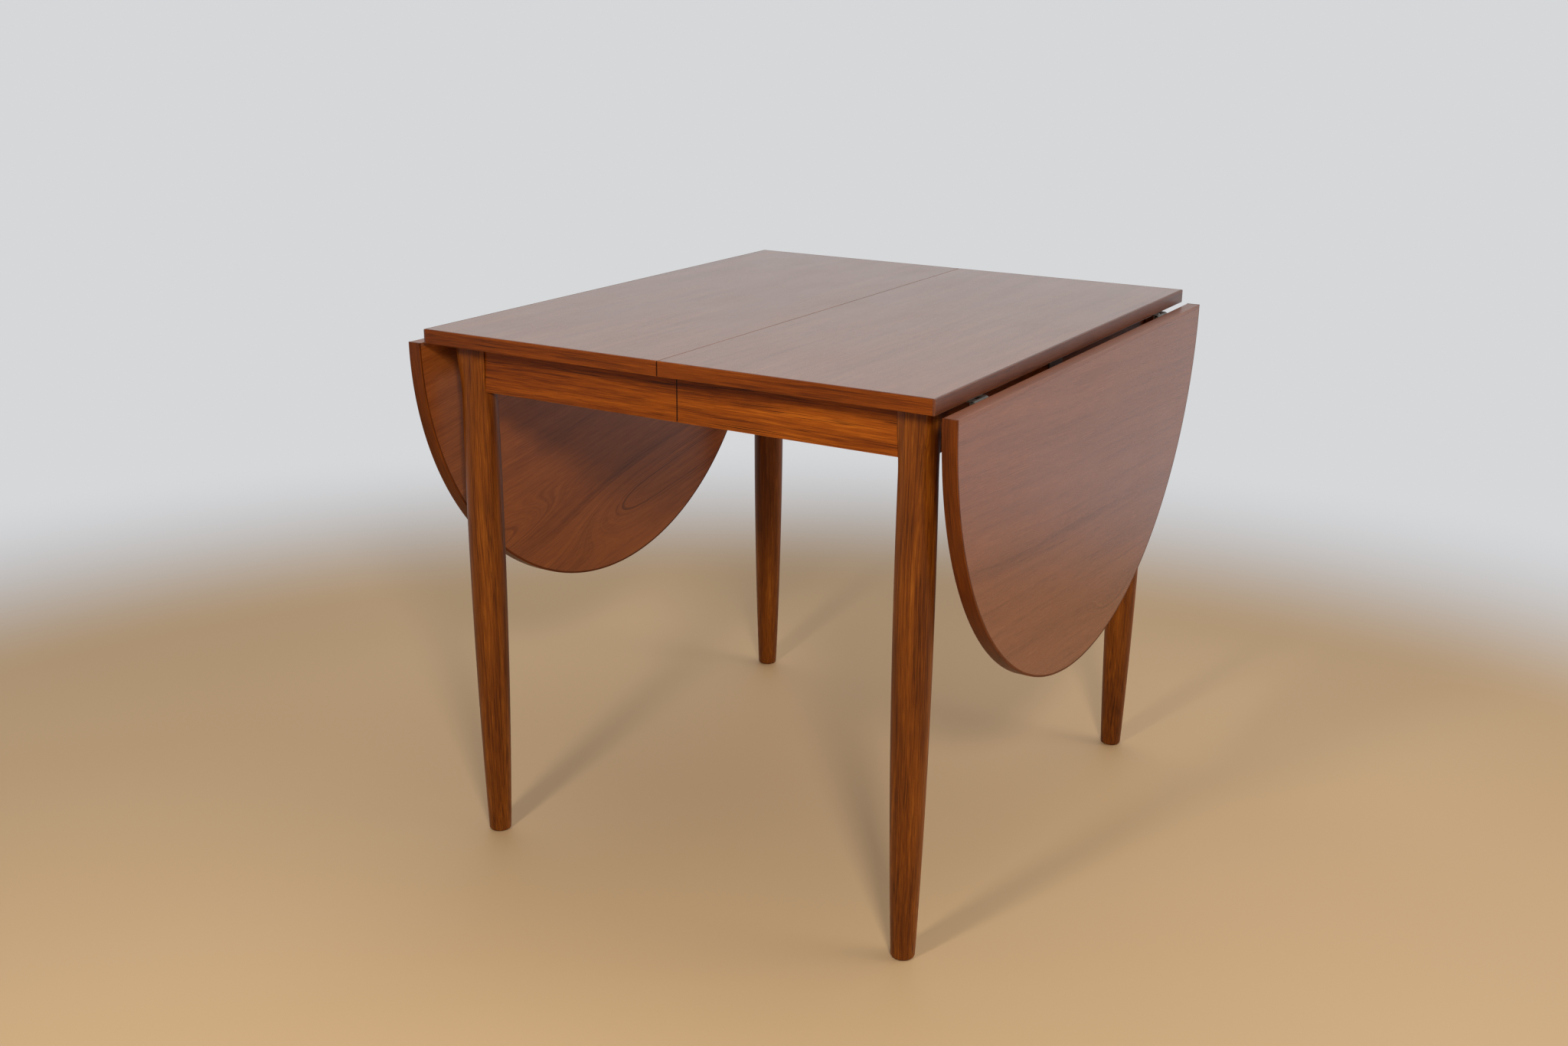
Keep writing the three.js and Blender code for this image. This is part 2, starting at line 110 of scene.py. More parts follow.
# %% Wires that can be added and multiplied
class Wire:
    """One output of a shader node: a number, colour or place that varies over a surface."""

    def __init__(self, socket):
        self.socket = socket

    @classmethod
    def make(cls, tree, kind, settings, inputs, output=0):
        node = tree.nodes.new(kind)
        for name, setting in settings.items():
            if name == "stops":
                cls.set_stops(node.color_ramp.elements, setting)
            else:
                setattr(node, name, setting)
        for name, value in inputs.items():
            if isinstance(value, Wire):
                tree.links.new(value.socket, node.inputs[name])
            else:
                node.inputs[name].default_value = value
        return cls(node.outputs[output]) if node.outputs else None

    @staticmethod
    def set_stops(elements, shades):
        """Colours at even steps from 0 to 1."""
        while len(elements) < len(shades):
            elements.new(0.5)
        for i, shade in enumerate(shades):
            elements[i].position = i / (len(shades) - 1)
            elements[i].color = shade

    def node(self, kind, settings, inputs, output=0):
        return Wire.make(self.socket.id_data, kind, settings, inputs, output)

    def math(self, operation, first, second=0.0):
        return self.node("ShaderNodeMath", {"operation": operation}, {0: first, 1: second})

    def __add__(self, other):
        return self.math("ADD", self, other)

    def __sub__(self, other):
        return self.math("SUBTRACT", self, other)

    def __rsub__(self, other):
        return self.math("SUBTRACT", other, self)

    def __mul__(self, other):
        return self.math("MULTIPLY", self, other)

    __radd__ = __add__
    __rmul__ = __mul__

    def larger(self, other):
        return self.math("MAXIMUM", self, other)

    def rise(self, start, stop):
        """0 below start, 1 above stop and a smooth rise between them."""
        return self.node("ShaderNodeMapRange", {"interpolation_type": "SMOOTHSTEP"},
                         {"Value": self, "From Min": start, "From Max": stop})

    def hill(self):
        """1 where this wire is 0, falling smoothly to 0 on both sides."""
        return self.math("EXPONENT", self * self * -1)

    def ramp(self, shades):
        return self.node("ShaderNodeValToRGB", {"stops": shades}, {0: self})

    def blend(self, first, second):
        """The first colour where this wire is 0 and the second where it is 1."""
        return self.node("ShaderNodeMix", {"data_type": "RGBA"}, {0: self, 6: first, 7: second}, output=2)

    def axes(self):
        return [self.node("ShaderNodeSeparateXYZ", {}, {0: self}, i) for i in range(3)]


def object_place(tree):
    return Wire.make(tree, "ShaderNodeTexCoord", {}, {}, output=3)


def place_from(x, y, z):
    return x.node("ShaderNodeCombineXYZ", {}, {0: x, 1: y, 2: z})


def colour(red, green, blue):
    """A colour as a screen shows it, from 0 to 255, turned into amounts of light."""
    shares = [value / 255 for value in (red, green, blue)]
    return tuple((v / 12.92 if v <= 0.04045 else ((v + 0.055) / 1.055) ** 2.4) for v in shares) + (1.0,)


def new_surface(name):
    material = bpy.data.materials.new(name)
    material.use_nodes = True
    material.node_tree.nodes.clear()
    return material, material.node_tree


def bumped(tree, strength, height):
    return Wire.make(tree, "ShaderNodeBump", {},
                     {"Strength": strength, "Distance": 0.1 * mm, "Height": height})


def finish_surface(tree, shader):
    Wire.make(tree, "ShaderNodeOutputMaterial", {}, {"Surface": shader})


# %% [markdown]
# ## Where a board's grain runs
# Wood is a solid: its growth layers run through the whole board, and each face shows them cut
# across. So a pattern on the object's own coordinates fits round every corner by itself. Each
# function below gives a place whose first number runs along the grain and whose second runs
# across it. The lipping that runs round a leaf bends with the curve, so it reads an unrolled
# place that its own mesh carries.

# %% The place in the wood
def grain_along(axis, start=(0, 0, 0), slope=0.0):
    """Start shifts the cut to another part of the tree, and slope lets the grain run off the edge."""
    order = {"x": "xzy", "y": "yxz", "z": "zxy", "leaf": "yzx"}[axis]

    def place(tree):
        found = dict(zip("xyz", object_place(tree).axes()))
        along, across, deep = [found[name] + shift for name, shift in zip(order, start)]
        return place_from(along, across - along * slope, deep)

    return place


def unrolled(tree):
    return Wire.make(tree, "ShaderNodeAttribute", {"attribute_name": "unrolled"}, {}, output=1)


def edge_number(tree):
    """The mark that each mesh carries near its edges."""
    return Wire.make(tree, "ShaderNodeAttribute", {"attribute_name": "edge"}, {}, output=2)


def grain_noise(place, along, across, detail=1.0, start=0.0):
    """Noise around 0, whose patches are about along by across, in millimetres."""
    shrink = (1 / (along * mm), 1 / (across * mm), 1 / (across * mm))
    spot = place.node("ShaderNodeVectorMath", {"operation": "MULTIPLY_ADD"},
                      {0: place, 1: shrink, 2: (start, start * 1.7, start * 0.6)})
    return place.node("ShaderNodeTexNoise", {}, {"Vector": spot, "Scale": 1.0, "Detail": detail}) - 0.5


# %% [markdown]
# ## Teak
# The table's teak is lacquered to a satin sheen. Its colour follows the growth layers, in
# broad bands and in thin dark streaks, and short dark pores lie over them. Where a board was
# sawn flat through the log, the layers come up in nested arches. A picture of wood would
# show its repeats and stop at each edge, so the layers are computed: the distance across the
# grain is pushed about by slow noise, and by a smooth hill wherever an arch should be, and
# all the colours then follow that bent distance.

# %% Growth layers
def growth_layers(wood, wander, hills):
    """The place in the wood, with its distance across the grain bent as real layers bend.

    A hill is its centre, its reach along and across, and how far it pushes the layers, in mm.
    Also says how strongly each place is arched, because the rings show best in the arches.
    """
    along, across, deep = wood.axes()
    arched = 0.0
    bent = across + grain_noise(wood, 420, 70, start=3.1) * (2 * wander * mm)
    bent = bent + grain_noise(wood, 150, 14, start=8.7) * (0.25 * wander * mm)
    for (centre, height), (reach, spread), push in hills:
        u = (along - centre * mm) * (1 / (reach * mm))
        v = (across - height * mm) * (1 / (spread * mm))
        hill = u.hill() * v.hill()
        bent = bent + hill * (push * mm)
        arched = arched + hill
    return place_from(along, bent, deep), arched


# %% A lacquered teak surface
def teak(name, place, tones, ring=9, wander=10, hills=(), stains=(), contrast=1.0, late_wood=0.2, lines=1.0,
         rough=0.4, gloss=0.25):
    """Tones run from dark to light. Ring is a growth layer's width, wander how far it strays, in mm.

    A stain is its place across the grain, its width and its depth.
    """
    material, tree = new_surface(name)
    wood = place(tree)
    layers, arched = growth_layers(wood, wander, hills)
    bent, deep = layers.axes()[1:]

    # Broad bands and narrow streaks follow the layers, and fine fibres lie between them
    bands = grain_noise(layers, 240, 16, detail=2.0, start=1.3)
    streaks = grain_noise(layers, 90, 1.7, detail=2.0, start=5.9)
    fibres = grain_noise(wood, 26, 0.9, start=9.4)

    # Each ring darkens slowly and ends at once, and shows only in some parts of the board
    years = (bent + deep * 0.35) * (1 / (ring * mm)) + grain_noise(layers, 900, 45, start=4.9) * 2.5
    year = years.math("FRACT", years + bands * 0.4)
    late = year * year * (1 - year.rise(0.84, 1.0))
    late = late * grain_noise(layers, 500, 24, start=2.7).rise(-0.12, 0.16)

    middle_tone, arch_strength = 0.56, 0.6
    tone = middle_tone + (bands * 0.9 + streaks * 0.8) * contrast + fibres * 0.6
    tone = tone - late * (late_wood + arched * arch_strength)
    for middle, width, depth in stains:
        tone = tone - ((bent - middle * mm) * (1 / (width * mm))).hill() * depth

    # Thin dark lines gather in some layers, and pores are everywhere
    thin = grain_noise(layers, 75, 1.1, start=7.1).rise(0.03, 0.17)
    thin = thin * grain_noise(layers, 260, 8, start=4.4).rise(-0.08, 0.12) * lines
    pores = grain_noise(wood, 7, 0.5, start=2.2).rise(0.10, 0.26)
    shade = (thin * 0.62).larger(pores * 0.30).blend(tone.ramp(tones), tones[0])

    # Rounded edges get a painted highlight, paler in patches. Glued joints hold a dark line, and the split
    # holds a painted dark line of the gap's shade
    edge = edge_number(tree)
    arris_highlight = edge.rise(0.2, 1.0) * grain_noise(wood, 30, 9, start=7.7).rise(-0.2, 0.1)
    # This one dark blend carries both the glued joint lines and the painted shade of the split's gap
    joint = (edge * -1).rise(0.1, 0.9)
    shade = (arris_highlight * 0.4).blend(shade, tones[-1])
    shade = (joint * 0.9).blend(shade, colour(26, 11, 5))

    # The lacquer is even, but pores break it and hands have dulled it here and there
    worn = grain_noise(wood, 110, 70, detail=3.0, start=6.2)
    dulled = worn * 0.12 + pores * 0.10 + streaks * 0.06 + rough
    bump = bumped(tree, 0.2, fibres * 0.3 - pores * 0.7 - thin * 0.3)
    shader = Wire.make(tree, "ShaderNodeBsdfPrincipled", {},
                       {"Base Color": shade, "Roughness": dulled, "Normal": bump, "IOR": 1.5,
                        "Specular IOR Level": gloss})
    finish_surface(tree, shader)
    return material


# %% [markdown]
# Each kind of board gets its own cut of teak. The rails and legs are solid and the most
# orange, with hardly any blue in them. The veneer on the top is calm and a little faded, and
# so is the outside of a leaf. The inside of a leaf has kept its colour and has the boldest
# arches of the table, so its hills are placed where the photograph shows them.

# %% The table's teaks
solid_tones = [colour(50, 18, 2), colour(102, 44, 6), colour(140, 68, 11), colour(180, 98, 24)]
leg_tones = [colour(46, 18, 3), colour(88, 40, 7), colour(120, 61, 12), colour(158, 90, 26)]
lipping_tones = [colour(38, 13, 2), colour(74, 30, 5), colour(100, 45, 8), colour(130, 64, 15)]
edge_tones = [colour(44, 16, 2), colour(90, 38, 6), colour(121, 56, 10), colour(154, 79, 18)]
# The end strips' tones are darker and greyer than the edge strips': painted shade, with the grey of a painted
# reflection
end_strip_shade_tones = [colour(42, 18, 7), colour(76, 35, 16), colour(100, 50, 23), colour(126, 70, 38)]
top_tones = [colour(88, 49, 31), colour(117, 72, 48), colour(137, 90, 62), colour(158, 110, 78)]
outer_tones = [colour(86, 42, 22), colour(114, 62, 36), colour(132, 76, 46), colour(150, 94, 60)]
inner_tones = [colour(74, 30, 9), colour(120, 58, 19), colour(148, 78, 30), colour(170, 98, 46)]

rail_look = {"contrast": 0.8, "lines": 1.5, "gloss": 0.15}
teak_long = teak("teak_rails", grain_along("x", (0.1, 0.02, 0.2)), solid_tones, **rail_look)
teak_cross = teak("teak_end_rails", grain_along("y", (0.4, 0, 0.2)), solid_tones, **rail_look)
teak_edge = teak("teak_top_edge", grain_along("x", (0.3, 0.5, 0)), edge_tones, contrast=0.7, gloss=0.15)
teak_bent = teak("teak_leaf_lipping", unrolled, lipping_tones, contrast=0.6, lines=0.8, gloss=0.15)
teak_end = teak("teak_end_strips", grain_along("y", (0.4, 0, 0.2)), end_strip_shade_tones,
                contrast=0.5, rough=0.3, gloss=0.42)
teak_brow = teak("teak_leaf_brow", grain_along("y", (0.9, 0, 0)), outer_tones,
                 contrast=0.5, lines=0.6, rough=0.3, gloss=0.5)
teak_leg = teak("teak_legs", grain_along("z", (0, 0.01, 0)), leg_tones,
                ring=8, contrast=1.0, lines=1.2, gloss=0.2)
top_veneer = teak("teak_top_veneer", grain_along("y", (0, 0.02, 0), slope=0.02), top_tones,
                  ring=16, wander=22, contrast=0.6, lines=0.7, rough=0.18, gloss=1.0)

outer_slope = -0.06
knot_arch = [((107, 339 - 107 * outer_slope), (60, 16), 22)]
outer_stains = [(491, 13, 0.17), (366, 8, 0.14), (430, 14, 0.10)]
leaf_outside = teak("teak_leaf_outside", grain_along("leaf", slope=outer_slope), outer_tones,
                    ring=14, wander=12, hills=knot_arch, stains=outer_stains,
                    contrast=0.45, lines=0.5, rough=0.26, gloss=0.6)

# On the inner side one long arch lies near the front. Three broad ones, which open the other
# way, overlap from the middle to the back
inner_slope = 0.17
arches = [((-345, 385 + 345 * inner_slope), (190, 28), 90)]
arches += [((y, 380), (120, 40), -115) for y in (40, 200, 360)]
leaf_inside = teak("teak_leaf_inside", grain_along("leaf", slope=inner_slope), inner_tones,
                   ring=13, wander=7, hills=arches, stains=[(420, 24, 0.16)],
                   contrast=0.55, late_wood=0.14, lines=0.35, rough=0.34, gloss=0.4)
print("teak surfaces:", [m.name for m in bpy.data.materials if m.name.startswith("teak")])

# %% [markdown]
# ## Plain wood and zinc
# The runners, blocks and dowels are out of sight, so they are a pale plain beech with no lacquer.
# Beech has the same kind of layers as teak but far less contrast. The ironwork is zinc-plated
# steel: a cool grey with soft cloudy patches, fine scratches and a painted highlight on its edges.

# %% Beech and zinc-plated steel
beech_tones = [colour(140, 102, 66), colour(174, 135, 94), colour(192, 154, 112), colour(207, 174, 134)]
beech_look = {"ring": 7, "contrast": 0.4, "lines": 0.25, "rough": 0.6}
beech_long = teak("beech_along_x", grain_along("x"), beech_tones, **beech_look)
beech_upright = teak("beech_upright", grain_along("z"), beech_tones, **beech_look)


def zinc_plate():
    material, tree = new_surface("zinc_plated_steel")
    place = object_place(tree)
    clouds = grain_noise(place, 6, 6, detail=3.0)
    scratches = grain_noise(place, 9, 0.25, start=3.0).rise(0.10, 0.25)
    # Rounded edges get a painted highlight, and the scratches show paler
    edge = edge_number(tree).rise(0.2, 1.0)
    shade = (clouds + 0.5).ramp([colour(66, 62, 55), colour(104, 99, 90), colour(134, 130, 120)])
    shade = (edge * 0.6 + scratches * 0.25).blend(shade, colour(196, 192, 182))
    rough = 0.34 + clouds * 0.2 + scratches * 0.1
    bump = bumped(tree, 0.15, clouds - scratches)
    shader = Wire.make(tree, "ShaderNodeBsdfPrincipled", {},
                       {"Base Color": shade, "Roughness": rough, "Metallic": 1.0, "Normal": bump})
    finish_surface(tree, shader)
    return material


zinc = zinc_plate()

# %% [markdown]
# ## From mesh to piece
# A new shape starts as a bmesh. The helper below gives it a name, a material, the body that
# it rides on and the CAD piece that it stands for. Every mesh also carries a number called
# edge, whose marks are named below: a rounded edge gets a painted highlight, a glued joint is
# a faint dark line, and the open split gets a painted dark line of the gap's shade. Smooth
# shading alone would carry the roundness of an edge right across a board and bend its
# reflections, so a Weighted Normal modifier lets the large faces stay flat.

# %% Turn a bmesh into a piece
made = []
# The marks: painted highlight on rounded edges, nothing, a glued joint's dark line, painted shade of the
# split's gap
arris_highlight_mark, plain_mark, glued_mark, gap_shade_mark = 1.0, 0.0, -0.5, -1.0


def new_shape():
    bm = bmesh.new()
    bm.verts.layers.float.new("edge")
    return bm


def facing_out(bm):
    bmesh.ops.recalc_face_normals(bm, faces=bm.faces)
    return bm


def add_piece(name, bm, body, slot, material, *nodes, crease=30):
    mesh = bpy.data.meshes.new(name)
    facing_out(bm).to_mesh(mesh)
    bm.free()
    mesh.materials.append(material)
    mesh.shade_smooth()
    mesh.set_sharp_from_angle(angle=math.radians(crease))
    piece = bpy.data.objects.new(name, mesh)
    bpy.context.scene.collection.objects.link(piece)
    piece.modifiers.new("flat_faces_stay_flat", "WEIGHTED_NORMAL").keep_sharp = True
    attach(piece, body)
    if nodes:
        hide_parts(*nodes)
    made.append(piece)
    return piece


# %% [markdown]
# ## Boards, prisms and turned shapes
# Three starts are enough for the whole table: a board between two corners, a prism pulled
# from a flat outline, and a turned shape spun from half its outline. Bevels then round the
# edges. Edges that meet the air get the full arris, and edges that are glued get a hairline.

# %% Three ways to start a shape
def board(low, high):
    low, high = Vector(low), Vector(high)
    bm = new_shape()
    bmesh.ops.create_cube(bm, size=1)
    bmesh.ops.scale(bm, vec=high - low, verts=bm.verts)
    bmesh.ops.translate(bm, vec=(low + high) / 2, verts=bm.verts)
    return bm


def verts_among(geometry):
    return [item for item in geometry if isinstance(item, bmesh.types.BMVert)]


def pull(bm, faces, vector):
    """Extrude faces along a vector and move the new end there."""
    pulled = bmesh.ops.extrude_face_region(bm, geom=faces)["geom"]
    bmesh.ops.translate(bm, vec=vector, verts=verts_among(pulled))
    return bm


def prism(points, vector):
    bm = new_shape()
    face = bm.faces.new([bm.verts.new(point) for point in points])
    return facing_out(pull(bm, [face], vector))


def turned(profile, steps=32):
    """Half an outline of (radius, height) points, spun round Z."""
    bm = new_shape()
    verts = [bm.verts.new((radius, 0, height)) for radius, height in profile]
    edges = [bm.edges.new(pair) for pair in zip(verts, verts[1:])]
    bmesh.ops.spin(bm, geom=verts + edges, cent=(0, 0, 0), axis=(0, 0, 1), angle=2 * math.pi,
                   steps=steps, use_merge=True)
    bmesh.ops.remove_doubles(bm, verts=bm.verts, dist=0.001 * mm)
    return bm


def rod_outline(radius, length, chamfer, bore=0):
    """Half the outline of a rod, or of a tube, whose two rims are chamfered."""
    rim = [(bore, 0), (radius - chamfer, 0), (radius, chamfer)]
    return rim + [(across, length - height) for across, height in reversed(rim)]


def aim(bm, start, direction):
    """Lay a turned shape down, so that its Z runs along a direction from a start."""
    turn = Vector((0, 0, 1)).rotation_difference(Vector(direction)).to_matrix()
    bmesh.ops.transform(bm, matrix=Matrix.Translation(start) @ turn.to_4x4(), verts=bm.verts)
    return bm


# %% Rounded edges and joined shapes
def bevel(bm, edges, radius, segments, mark):
    """Round some edges, and mark the vertices that lie inside the round."""
    rounds = bmesh.ops.bevel(bm, geom=list(edges), offset=radius, offset_type="OFFSET", segments=segments,
                             profile=0.5, affect="EDGES", clamp_overlap=True, material=-1)["faces"]
    layer = bm.verts.layers.float["edge"]
    curved = set(rounds)
    for vert in {vert for face in curved for vert in face.verts}:
        if all(face in curved for face in vert.link_faces):
            vert[layer] = mark
    return bm


def sharp_edges(bm, test=lambda face: True, degrees=40):
    """The edges that are sharp and whose two faces both pass a test."""
    bm.normal_update()
    return [edge for edge in bm.edges
            if edge.is_manifold and edge.calc_face_angle() > math.radians(degrees)
            and all(test(face) for face in edge.link_faces)]


# The rounds are marked for a painted highlight
def rounded(bm, radius=arris, test=lambda face: True, segments=4):
    return bevel(bm, sharp_edges(bm, test), radius, segments, arris_highlight_mark)


def glued(bm, hairline=0.15 * mm):
    """What is left of a board's sharp edges is a glued joint."""
    return bevel(bm, sharp_edges(bm, degrees=60), hairline, 2, glued_mark)


def looks_along(*directions):
    """A test for faces that look in one of these directions."""
    return lambda face: any(face.normal.dot(Vector(direction)) > 0.9 for direction in directions)


up, down, out, inward, front, back = (0, 0, 1), (0, 0, -1), (1, 0, 0), (-1, 0, 0), (0, -1, 0), (0, 1, 0)


def joined(*shapes):
    """One bmesh from several."""
    whole = shapes[0]
    for shape in shapes[1:]:
        mesh = bpy.data.meshes.new("shape")
        shape.to_mesh(mesh)
        shape.free()
        whole.from_mesh(mesh)
        bpy.data.meshes.remove(mesh)
    return whole


# %% [markdown]
# ## Two halves
# The left half of the table is the right half turned round by 180 degrees about the middle.
# Every shape is therefore made once, for the right half, and turned for the left. The turn
# swaps front and back, so the corner's name is looked up after it.

# %% Put a shape on both halves
def corner(side, end):
    """End is -1 at the front and 1 at the back of the right half."""
    return f"{'front' if (end < 0) == (side == 'right') else 'back'}_{side}"


def on_side(bm, side):
    if side == "left":
        bmesh.ops.rotate(bm, cent=(0, 0, 0), matrix=Matrix.Rotation(math.pi, 3, "Z"), verts=bm.verts)
    return bm


sides = ["right", "left"]
ends = [-1, 1]

# %% [markdown]
# ## The half tops
# Each half top is a veneered board with thin strips of solid teak glued round its outer
# edges. The strip along the end covers the ends of the long strips. The split itself has no
# strip that shows, so the two halves meet in a single dark line. It comes from three things:
# a narrow gap, a fine arris on both sides, and painted shade of the gap on those arrises and
# on a rim just inside the split faces.

# %% Half tops
top_gap = 0.45 * mm


def open_split(bm, test=lambda face: True, split_arris=0.6 * mm, gap_shade_rim=2.5 * mm):
    """Soften the edges at the split, and mark those rounds and the rim just inside them for the painted shade
    of the gap.
    """
    def at_split(face):
        return face.normal.dot(Vector(inward)) > 0.999

    edges = [edge for edge in sharp_edges(bm, lambda face: at_split(face) or test(face))
             if any(at_split(face) for face in edge.link_faces)]
    # The split's rounds get the painted shade of the gap
    bevel(bm, edges, split_arris, 3, gap_shade_mark)
    bm.normal_update()
    split_faces = [face for face in bm.faces if at_split(face)]
    bmesh.ops.inset_region(bm, faces=split_faces, thickness=gap_shade_rim, use_even_offset=True)
    bm.normal_update()
    for vert in bm.verts:
        inside = [at_split(face) for face in vert.link_faces]
        if any(inside):
            vert[bm.verts.layers.float["edge"]] = plain_mark if all(inside) else gap_shade_mark
    return bm


def top_board():
    high = (top_high.x - edge_strip, top_high.y - edge_strip, top_high.z)
    bm = board((top_gap, top_low.y + edge_strip, top_low.z), high)
    return glued(open_split(bm, looks_along(up, down)))


def top_end_strip():
    bm = board((top_high.x - edge_strip, top_low.y, top_low.z), top_high)
    return glued(rounded(bm, test=looks_along(up, down, out, front, back)))


def top_long_strip(end):
    near, far = sorted([end * top_high.y, end * (top_high.y - edge_strip)])
    bm = board((top_gap, near, top_low.z), (top_high.x - edge_strip, far, top_high.z))
    in_the_air = looks_along(up, down, (0, end, 0))
    open_split(bm, in_the_air, gap_shade_rim=0.6 * mm)
    return glued(rounded(bm, test=in_the_air))


for side in sides:
    half = f"{side}_half"
    add_piece(f"top_board_{side}", on_side(top_board(), side), half, "veneer", top_veneer, f"top_{side}")
    add_piece(f"top_end_strip_{side}", on_side(top_end_strip(), side), half, "solid_teak", teak_end)
    for end in ends:
        strip = on_side(top_long_strip(end), side)
        add_piece(f"top_strip_{corner(side, end)}", strip, half, "solid_teak", teak_edge)
print("top pieces:", len(made))

# %% [markdown]
# ## The leaves
# A leaf is a half-round board of the same make. Its lipping is one long strip that was bent
# round the curve, so it is spun from its own small section. A straight strip closes the edge
# that meets the top. The two faces of the board carry different veneers.

# %% Leaves
leaf_radius = leaf_high.y - 0.01 * mm
leaf_steps = 120


def half_round(bm, geometry):
    return bmesh.ops.spin(bm, geom=geometry, cent=(0, 0, leaf_high.z), axis=(1, 0, 0),
                          angle=-math.pi, steps=leaf_steps)


def leaf_board():
    """One point swept round to a half circle, filled, pulled to a board and cut straight on top."""
    bm = new_shape()
    half_round(bm, [bm.verts.new((leaf_low.x, leaf_radius - edge_strip, leaf_high.z))])
    faces = bmesh.ops.contextual_create(bm, geom=bm.verts[:])["faces"]
    pull(bm, faces, (leaf_high.x - leaf_low.x, 0, 0))
    bmesh.ops.bisect_plane(bm, geom=bm.verts[:] + bm.edges[:] + bm.faces[:], plane_no=(0, 0, 1),
                           plane_co=(0, 0, leaf_high.z - inner_strip), clear_outer=True)
    bmesh.ops.holes_fill(bm, edges=bm.edges, sides=0)
    return glued(facing_out(bm))


def leaf_lipping():
    bm = new_shape()
    inner, outer = leaf_radius - edge_strip, leaf_radius
    section = [(leaf_low.x, inner), (leaf_high.x, inner), (leaf_high.x, outer), (leaf_low.x, outer)]
    face = bm.faces.new([bm.verts.new((x, y, leaf_high.z)) for x, y in section])
    half_round(bm, [face] + bm.edges[:] + bm.verts[:])
    facing_out(bm)

    def on_rim(edge, close=0.1 * mm):
        first, second = [vert.co - Vector((vert.co.x, 0, leaf_high.z)) for vert in edge.verts]
        level = abs(edge.verts[0].co.x - edge.verts[1].co.x) < close
        return level and min(first.length, second.length) > outer - close

    # The rounded rim is marked for a painted highlight
    bevel(bm, [edge for edge in sharp_edges(bm) if on_rim(edge)], arris, 4, arris_highlight_mark)
    place = bm.verts.layers.float_vector.new("unrolled")
    for vert in bm.verts:
        y, z = vert.co.y, leaf_high.z - vert.co.z
        vert[place] = (math.atan2(z, y) * leaf_radius, vert.co.x, math.hypot(y, z))
    return bm


def leaf_straight_strip():
    reach = leaf_radius - edge_strip - 0.05 * mm
    bm = board((leaf_low.x, -reach, leaf_high.z - inner_strip), (leaf_high.x, reach, leaf_high.z))
    return glued(rounded(bm, test=looks_along(up, inward, out)))


for side in sides:
    body = f"leaf_{side}"
    leaf = add_piece(f"leaf_board_{side}", on_side(leaf_board(), side), body, "veneer", leaf_outside, body)
    leaf.data.materials.append(leaf_inside)
    for face in leaf.data.polygons:
        towards_table = face.normal.x < 0 if side == "right" else face.normal.x > 0
        face.material_index = int(towards_table and abs(face.normal.x) > 0.9)
    add_piece(f"leaf_lipping_{side}", on_side(leaf_lipping(), side), body, "solid_teak", teak_bent)
    brow = on_side(leaf_straight_strip(), side)
    add_piece(f"leaf_straight_strip_{side}", brow, body, "solid_teak", teak_brow)
print("leaf radius", round(leaf_radius / mm), "mm")

# %% [markdown]
# ## The legs
# A leg is turned: it swells a little below the rails and tapers to the floor. Its head stays
# square at the outside corner and is planed flatter towards the rails. The turned shape is
# spun first, and the head's vertices are then moved out to that section. Two notches take
# the ends of the rails, and a Boolean modifier cuts them, because their edges cross the
# curved surface at every height.

# %% Leg sizes and the head's section
widest_height = 469.3 * mm
foot_radius, widest_radius = 15.4 * mm, (leg_high.x - leg_low.x) / 2
bow = (widest_radius - foot_radius) / widest_height ** 2
rail_bottom = rail_low.z


def leg_radius(height):
    return widest_radius - bow * (height - widest_height) ** 2


head_half = leg_radius(underside)
head_corner = 8 * mm
facet_long, facet_short = 13.3 * mm, 7.3 * mm
seat = 18.15 * mm


def head_reach(x, y):
    """How far the head reaches from the leg's axis along (x, y), where + is outwards."""
    across = max(abs(x), abs(y))
    if x > 0 and y > 0:
        core = head_half - head_corner
        if min(x, y) / across * head_half < core:
            return head_half / across
        along = core * (x + y)
        return along + math.sqrt(along ** 2 - 2 * core ** 2 + head_corner ** 2)
    if x < 0 and y < 0:
        return head_half
    slope = math.hypot(facet_long, facet_short)
    towards_facet = (facet_short * -min(x, y) + facet_long * max(x, y)) / slope
    facet = (facet_short * (head_half - facet_long) + facet_long * head_half) / slope
    return min(head_half / across, facet / towards_facet)


print("leg radius at foot, widest and head:",
      [round(radius / mm, 1) for radius in (foot_radius, widest_radius, head_half)])

# %% Legs
foot_round = 4 * mm
corner_start, facet_start = 640 * mm, 622 * mm


def leg_shape(end):
    """Rings lie 25 mm apart up to the head and 5 mm apart in it, where the section changes."""
    foot = [(foot_radius - foot_round * (1 - math.sin(a)), foot_round * (1 - math.cos(a)))
            for a in [math.pi / 10 * i for i in range(6)]]
    heights = [height * mm for height in [*range(25, 601, 25), *range(606, 712, 5)]]
    profile = [(0, 0)] + foot + [(leg_radius(height), height) for height in heights] + [(0, underside)]
    bm = turned(profile, 96)
    for vert in bm.verts:
        radius = math.hypot(vert.co.x, vert.co.y)
        if radius > 1 * mm and vert.co.z > facet_start:
            x, y = vert.co.x / radius, vert.co.y / radius
            start = corner_start if x * y > 0 else facet_start
            rise = min(max((vert.co.z - start) / (underside - start), 0), 1)
            squareness = rise * rise * (3 - 2 * rise)
            growth = 1 + (head_reach(x, y) / head_half - 1) * squareness
            vert.co.x *= growth
            vert.co.y *= growth
    if end < 0:
        bmesh.ops.scale(bm, vec=(1, -1, 1), verts=bm.verts)
    bmesh.ops.translate(bm, vec=(leg_x, end * leg_y, 0), verts=bm.verts)
    return facing_out(bm)


def helper_object(bm):
    mesh = bpy.data.meshes.new("helper")
    bm.to_mesh(mesh)
    bm.free()
    holder = bpy.data.objects.new("helper", mesh)
    bpy.context.scene.collection.objects.link(holder)
    return holder


